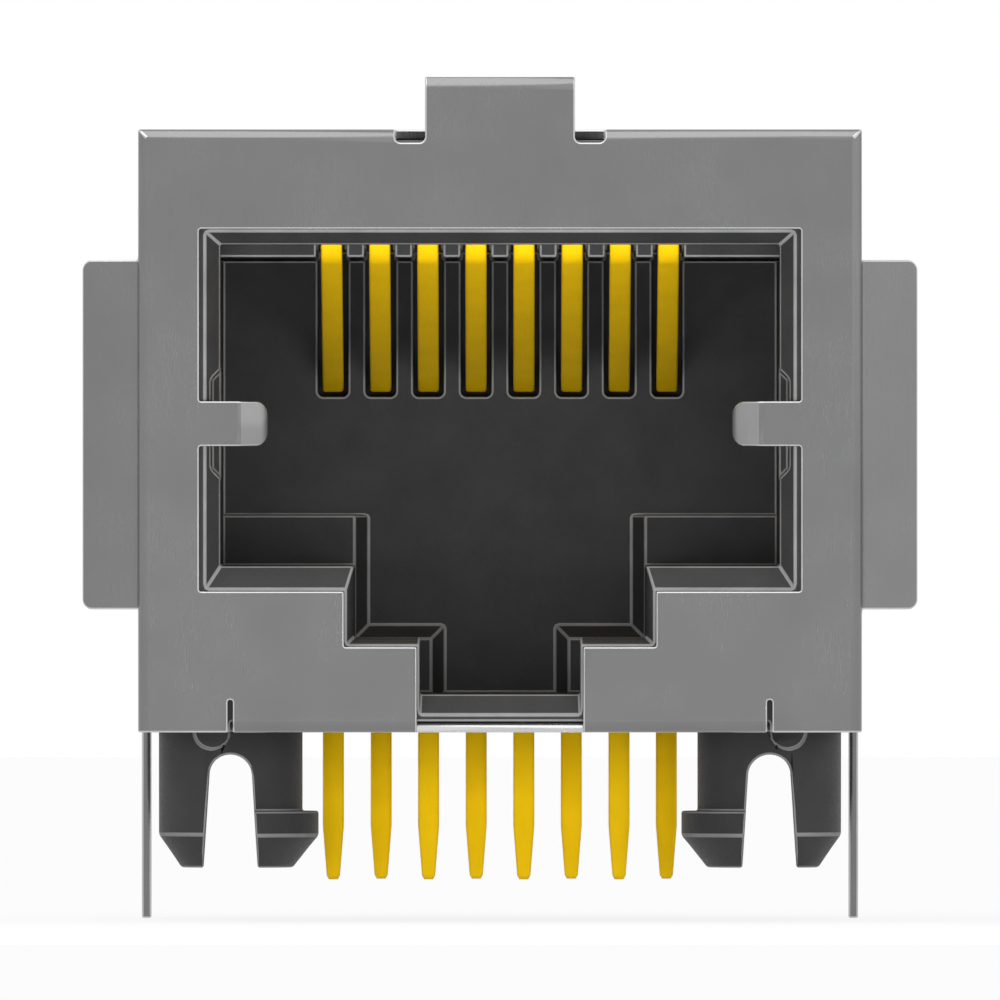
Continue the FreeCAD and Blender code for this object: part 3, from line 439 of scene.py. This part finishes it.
def turn_normals(mesh, axes, radii, slack):
    """Gives the faces of upright round surfaces the normals of true cylinders and cones.

    A corner counts as round if it lies within slack of one of the radii from one of the
    upright axes and its face looks away from that axis.  Its normal keeps the face's rise
    and turns to point straight away from the axis: (x / r * c, y / r * c, rise), where c is
    sqrt(1 - rise^2) and x, y, r are measured from the axis.  Nearly level faces are left.
    """
    looks_away, not_level = 0.97, 0.3
    corners, faces = len(mesh.loops), len(mesh.polygons)
    places = np.empty(len(mesh.vertices) * 3)
    mesh.vertices.foreach_get("co", places)
    vertex = np.empty(corners, int)
    mesh.loops.foreach_get("vertex_index", vertex)
    place = places.reshape(-1, 3)[vertex]
    total = np.empty(faces, int)
    mesh.polygons.foreach_get("loop_total", total)
    flat = np.empty(faces * 3)
    mesh.polygons.foreach_get("normal", flat)
    flat = np.repeat(flat.reshape(-1, 3), total, 0)
    normals = np.empty(corners * 3)
    mesh.corner_normals.foreach_get("vector", normals)
    normals = normals.reshape(-1, 3)
    for axis in axes:
        away = place[:, :2] - np.array(axis)
        reach = np.linalg.norm(away, axis=1)
        away = away / np.maximum(reach, 1e-9)[:, None]
        level = np.sqrt(np.maximum(1 - flat[:, 2] ** 2, 0))
        facing = (flat[:, :2] * away).sum(1) > level * looks_away
        near = np.min(np.abs(reach[:, None] - np.array(radii)), axis=1) < slack
        turned = facing & near & (level > not_level)
        normals[turned] = np.concatenate([away * level[:, None], flat[:, 2:]], 1)[turned]
    mesh.normals_split_custom_set(normals.tolist())


def place_piece(piece, slot, *nodes):
    """Lets a piece ride on the jack in a node's stead, hiding the node; its slot is not used."""
    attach(piece, BODY)
    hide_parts(*nodes)


# Materials


def seen_rays(tree):
    """A socket that is 1 for what the camera sees, straight or in metal and glass, and else 0."""
    rays = tree.nodes.new("ShaderNodeLightPath").outputs
    seen = rays["Is Camera Ray"]
    for ray in ("Is Glossy Ray", "Is Transmission Ray"):
        either = tree.nodes.new("ShaderNodeMath")
        either.operation = "MAXIMUM"
        tree.links.new(seen, either.inputs[0])
        tree.links.new(rays[ray], either.inputs[1])
        seen = either.outputs["Value"]
    return seen


class Nodes:
    """A short way to write a material's node tree."""

    # The middle part of a noise pattern, where most of its values lie.
    dark_end, light_end = 0.3, 0.7

    def __init__(self, name):
        self.material = bpy.data.materials.new(name)
        self.material.use_nodes = True
        self.tree = self.material.node_tree
        self.shader = self.tree.nodes["Principled BSDF"]

    def add(self, kind, links=None, **values):
        """Adds a node, sets its properties and inputs, and links inputs to other outputs."""
        node = self.tree.nodes.new("ShaderNode" + kind)
        for key, value in values.items():
            if hasattr(node, key):
                setattr(node, key, value)
            else:
                node.inputs[key.replace("_", " ")].default_value = value
        for key, output in (links or {}).items():
            self.tree.links.new(output, node.inputs[key])
        return node

    def link(self, output, socket):
        self.tree.links.new(output, self.shader.inputs[socket])

    def pattern(self, scale, size, detail=3.0):
        """Noise on the object's own coordinates, stretched by scale, with cells of that size."""
        place = self.add("TexCoord").outputs["Object"]
        stretched = self.add("Mapping", {"Vector": place}, Scale=scale).outputs["Vector"]
        noise = self.add("TexNoise", {"Vector": stretched}, Scale=1 / size, Detail=detail)
        return noise.outputs["Fac"]

    def spread(self, value, low, high):
        """The pattern's middle part spread over low to high."""
        span = self.add("MapRange", {"Value": value}, clamp=True)
        span.inputs["From Min"].default_value = self.dark_end
        span.inputs["From Max"].default_value = self.light_end
        span.inputs["To Min"].default_value = low
        span.inputs["To Max"].default_value = high
        return span.outputs["Result"]

    def tint(self, value, colour, low, high):
        """The colour, darker or lighter with the pattern."""
        ramp = self.add("ValToRGB", {"Fac": value})
        for element, share in zip(ramp.color_ramp.elements, (low, high)):
            element.color = [min(part * share, 1.0) for part in colour] + [1.0]
        ramp.color_ramp.elements[0].position = self.dark_end
        ramp.color_ramp.elements[1].position = self.light_end
        return ramp.outputs["Color"]

    def relief(self, value, height, strength=1.0):
        """A bump of the given height in metres."""
        bump = self.add("Bump", {"Height": value}, Strength=strength, Distance=height)
        self.link(bump.outputs["Normal"], "Normal")


def plated_sheet(name, colour, roughness):
    """Tin-plated cold rolled steel: fine upright rolling lines and faint clouds in the plating."""
    made = Nodes(name)
    made.shader.inputs["Metallic"].default_value = 0.9
    clouds = made.pattern(EVEN, size=1.6 * MM)
    lines = made.pattern(UPRIGHT, size=0.035 * MM, detail=2.0)
    made.link(made.tint(clouds, colour, low=0.96, high=1.04), "Base Color")
    both = made.add("Math", {0: made.spread(clouds, -0.04, 0.04), 1: made.spread(
        lines, roughness - 0.05, roughness + 0.05)}, operation="ADD")
    made.link(both.outputs["Value"], "Roughness")
    made.relief(lines, height=0.0007 * MM, strength=0.35)
    return made.material


def black_moulding(name, colour, roughness):
    """Glass-filled black plastic from an eroded mould: an even fine grain and a faint mottle."""
    made = Nodes(name)
    made.shader.inputs["Specular IOR Level"].default_value = 0.25
    grain = made.pattern(EVEN, size=0.06 * MM, detail=2.0)
    mottle = made.pattern(EVEN, size=0.9 * MM)
    made.link(made.tint(mottle, colour, low=0.88, high=1.12), "Base Color")
    made.link(made.spread(grain, roughness - 0.07, roughness + 0.07), "Roughness")
    made.relief(grain, height=0.004 * MM, strength=0.6)
    return made.material


def gold_plating(colour, roughness):
    """Satin gold over nickel: faint lines along the strip and a slight change of tone."""
    made = Nodes("gold_plating")
    made.shader.inputs["Metallic"].default_value = 0.15
    made.shader.inputs["Specular Tint"].default_value = (1, 0.7, 0.1, 1)
    tone = made.pattern(EVEN, size=0.8 * MM)
    drawn = made.pattern(ALONG_STRIP, size=0.03 * MM, detail=2.0)
    made.link(made.tint(tone, colour, low=0.95, high=1.04), "Base Color")
    made.link(made.spread(drawn, roughness - 0.05, roughness + 0.06), "Roughness")
    made.relief(drawn, height=0.0008 * MM, strength=0.5)
    return made.material


# Operators


class JACK_OT_shield(bpy.types.Operator):
    """The folded sheet, with lighter cut edges that are part burnished metal and part painted
    highlight, spring tips painted lighter as a highlight, and a plated finish
    """

    bl_idname = "jack.shield"
    bl_label = "Shield"

    def execute(self, context):
        finish, edges = context.scene.jack_finish, context.scene.jack_edges
        sheet = merged_copy("shield", "folded_shield", [
            plated_sheet("plated_sheet", finish.sheet_colour, finish.sheet_roughness),
            # The second material paints the rounded cut edges lighter, part burnished bare metal
            # and part painted highlight, and the lip lighter as a painted highlight.
            plated_sheet("burnished_highlight_edge", finish.sheet_edge_burnish_highlight, finish.sheet_roughness),
            # The third material paints the spring tips lighter as a highlight.
            plated_sheet("painted_tip_highlight", finish.tip_highlight_colour, finish.sheet_roughness)])
        self.mark_painted_highlights(sheet.data, edges)
        round_edges(sheet, edges.sheet_edge, edges.rounds, SHEET_SHARP)
        place_piece(sheet, "shield", "shield")
        return {"FINISHED"}

    def mark_painted_highlights(self, mesh, edges):
        """Paints a highlight on the lip of the lower fold below the latch's lever, and on the tips
        of the two ground springs.
        """
        before, around = FRONT_PLANE - 0.1 * MM, 1 * MM
        lip, lip_low, lip_high = edges.lip_highlight_width / 2, 0.02 * MM, 0.19 * MM
        # Painted highlight on the lip, in the second material with the lighter edge colour.
        mark_faces(mesh, (-lip, before, lip_low), (lip, 0, lip_high), 1)
        # Painted highlight on the spring tips past their bend, in the third material.
        spring = edges.tip_bend
        mark_faces(mesh, (-spring, before, MOUTH.z - around),
                   (spring, FRONT_PLANE + around, MOUTH.z + around), 2)


class JACK_OT_mouldings(bpy.types.Operator):
    """The housing, the contact carrier and the tail guide, in matte black plastic with a highlight
    painted along their edges
    """

    bl_idname = "jack.mouldings"
    bl_label = "Mouldings"

    def execute(self, context):
        finish, edges = context.scene.jack_finish, context.scene.jack_edges
        # The second material paints the rounded edges a much lighter black, as a highlight.
        materials = [
            black_moulding("black_moulding", finish.plastic_colour, finish.plastic_roughness),
            black_moulding("painted_edge_highlight", finish.plastic_edge_highlight_colour, finish.plastic_roughness)]
        for node, name, slot in (
                ("housing", "plug_housing", "housing"),
                ("contact_carrier", "carrier_tongue", "carrier"),
                ("tail_guide", "tail_plate", "carrier")):
            piece = merged_copy(node, name, materials)
            round_edges(piece, edges.moulded_edge, edges.rounds, MOULDED_SHARP)
            if node == "housing":
                slack = 0.02 * MM
                axes = [(side * edges.post_spacing / 2, 0) for side in (-1, 1)]
                turn_normals(piece.data, axes, (edges.post_radius, edges.hook_reach), slack)
            place_piece(piece, slot, node)
        return {"FINISHED"}


class JACK_OT_contacts(bpy.types.Operator):
    """The eight gold strips, swept with coined edges and tapered tails"""

    bl_idname = "jack.contacts"
    bl_label = "Contacts"

    def execute(self, context):
        finish, shape = context.scene.jack_finish, context.scene.jack_contacts
        gold = gold_plating(finish.gold_colour, finish.gold_roughness)
        for number in range(1, CONTACTS + 1):
            node = f"contact_{number}"
            mesh = mesh_from_rings(f"gold_strip_{number}", contact_rings(*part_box(node), shape))
            strip = bpy.data.objects.new(mesh.name, mesh)
            context.scene.collection.objects.link(strip)
            mesh.shade_smooth()
            strip.modifiers.new("shading", "WEIGHTED_NORMAL")
            mesh.materials.append(gold)
            place_piece(strip, "contact", node)
        return {"FINISHED"}


def add_lamp(name, kind, place, strength, gloss=True):
    """A lamp at place that faces the plug opening, unseen by the camera and perhaps in gloss."""
    lamp = bpy.data.lights.new(name, kind)
    lamp.energy = strength
    stand = bpy.data.objects.new(name, lamp)
    bpy.context.scene.collection.objects.link(stand)
    stand.location = place
    stand.rotation_euler = (MOUTH - stand.location).to_track_quat("-Z", "Y").to_euler()
    stand.visible_camera = False
    stand.visible_glossy = gloss
    return lamp


class JACK_OT_stage(bpy.types.Operator):
    """Plain pale floor, soft lamps, white surround and the photograph's camera"""

    bl_idname = "jack.stage"
    bl_label = "Stage"

    def execute(self, context):
        studio = context.scene.jack_studio
        self.lay_floor(context.scene, studio)
        self.light(context.scene, studio)
        self.aim_camera(context.scene, studio)
        context.scene.view_settings.view_transform = "Standard"
        return {"FINISHED"}

    def lay_floor(self, scene, studio):
        """A flat disc under the longest tails: radius times (cos angle, sin angle)."""
        angles = np.linspace(0, 2 * math.pi, FLOOR_CORNERS, endpoint=False)
        level = np.full(FLOOR_CORNERS, cad_bounds[0].z - FLOOR_GAP)
        ring = np.stack(
            [np.cos(angles) * FLOOR_RADIUS, np.sin(angles) * FLOOR_RADIUS, level], -1)
        mesh = bpy.data.meshes.new("studio_floor")
        mesh.from_pydata(ring.tolist(), [], [list(range(FLOOR_CORNERS))])
        made = Nodes("studio_floor")
        made.shader.inputs["Base Color"].default_value = (*studio.floor_colour, 1)
        made.shader.inputs["Roughness"].default_value = 0.9
        white = made.add("Emission", Strength=1.0)
        share = made.add("Math", {0: seen_rays(made.tree)}, operation="MULTIPLY")
        share.inputs[1].default_value = studio.floor_lift
        mixed = made.add("MixShader", {
            0: share.outputs["Value"], 1: made.shader.outputs["BSDF"],
            2: white.outputs["Emission"]})
        surface = made.tree.nodes["Material Output"].inputs["Surface"]
        made.tree.links.new(mixed.outputs["Shader"], surface)
        mesh.materials.append(made.material)
        floor = bpy.data.objects.new("studio_floor", mesh)
        scene.collection.objects.link(floor)

    def light(self, scene, studio):
        """White to the camera and in gloss, softer as a light; two high lamps and a low one."""
        world = bpy.data.worlds.new("studio_surround")
        world.use_nodes = True
        scene.world = world
        tree = world.node_tree
        strength = tree.nodes.new("ShaderNodeMapRange")
        strength.inputs["To Min"].default_value = studio.surround
        strength.inputs["To Max"].default_value = 1.0
        tree.links.new(seen_rays(tree), strength.inputs["Value"])
        backdrop = tree.nodes["Background"]
        backdrop.inputs["Color"].default_value = (1, 1, 1, 1)
        tree.links.new(strength.outputs["Result"], backdrop.inputs["Strength"])
        key = add_lamp("key_lamp", "SUN", MOUTH + KEY_WAY, studio.key)
        key.angle = KEY_SPREAD
        fill = add_lamp("fill_lamp", "SUN", MOUTH + FILL_WAY, studio.fill)
        fill.angle = FILL_SPREAD
        place = (0, FRONT_PLANE - LOW_AHEAD, LOW_LEVEL)
        low = add_lamp("front_lamp", "AREA", place, studio.front, gloss=False)
        low.shape = "RECTANGLE"
        low.size, low.size_y = LOW_WIDTH, LOW_HEIGHT

    def aim_camera(self, scene, studio):
        """Square on to the front face, at the photograph's scale on that face."""
        camera = bpy.data.cameras.new("photo_camera")
        camera.lens = studio.lens
        width = PHOTO_PIXELS / PIXELS_PER_MM * MM
        away = camera.lens * width / camera.sensor_width
        camera.clip_start = away / 10
        camera.clip_end = away * 3
        stand = bpy.data.objects.new("photo_camera", camera)
        scene.collection.objects.link(stand)
        height = (BASE_ROW - PHOTO_PIXELS / 2) / PIXELS_PER_MM * MM
        stand.location = (0, FRONT_PLANE - away, height)
        stand.rotation_euler = (math.pi / 2, 0, 0)
        scene.camera = stand


class JACK_PT_panel(bpy.types.Panel):
    """The jack's steps and values in the sidebar"""

    bl_idname = "JACK_PT_panel"
    bl_label = "Board jack"
    bl_space_type = "VIEW_3D"
    bl_region_type = "UI"
    bl_category = "Jack"

    def draw(self, context):
        for step in STEPS:
            self.layout.operator(step.bl_idname)
        for group in (context.scene.jack_finish, context.scene.jack_edges,
                      context.scene.jack_contacts, context.scene.jack_studio):
            box = self.layout.box()
            for key in group.__annotations__:
                box.prop(group, key)


STEPS = (JACK_OT_stage, JACK_OT_shield, JACK_OT_mouldings, JACK_OT_contacts)
GROUPS = {"jack_finish": JackFinish, "jack_edges": JackEdges, "jack_contacts": JackContacts,
          "jack_studio": JackStudio}


def register():
    for group in (*GROUPS.values(), *STEPS, JACK_PT_panel):
        bpy.utils.register_class(group)
    for key, group in GROUPS.items():
        setattr(bpy.types.Scene, key, PointerProperty(type=group))


def unregister():
    for key in GROUPS:
        delattr(bpy.types.Scene, key)
    for group in (JACK_PT_panel, *reversed(STEPS), *GROUPS.values()):
        bpy.utils.unregister_class(group)


def main():
    register()
    for step in STEPS:
        space, name = step.bl_idname.split(".")
        getattr(getattr(bpy.ops, space), name)()


if __name__ == "__main__":
    main()
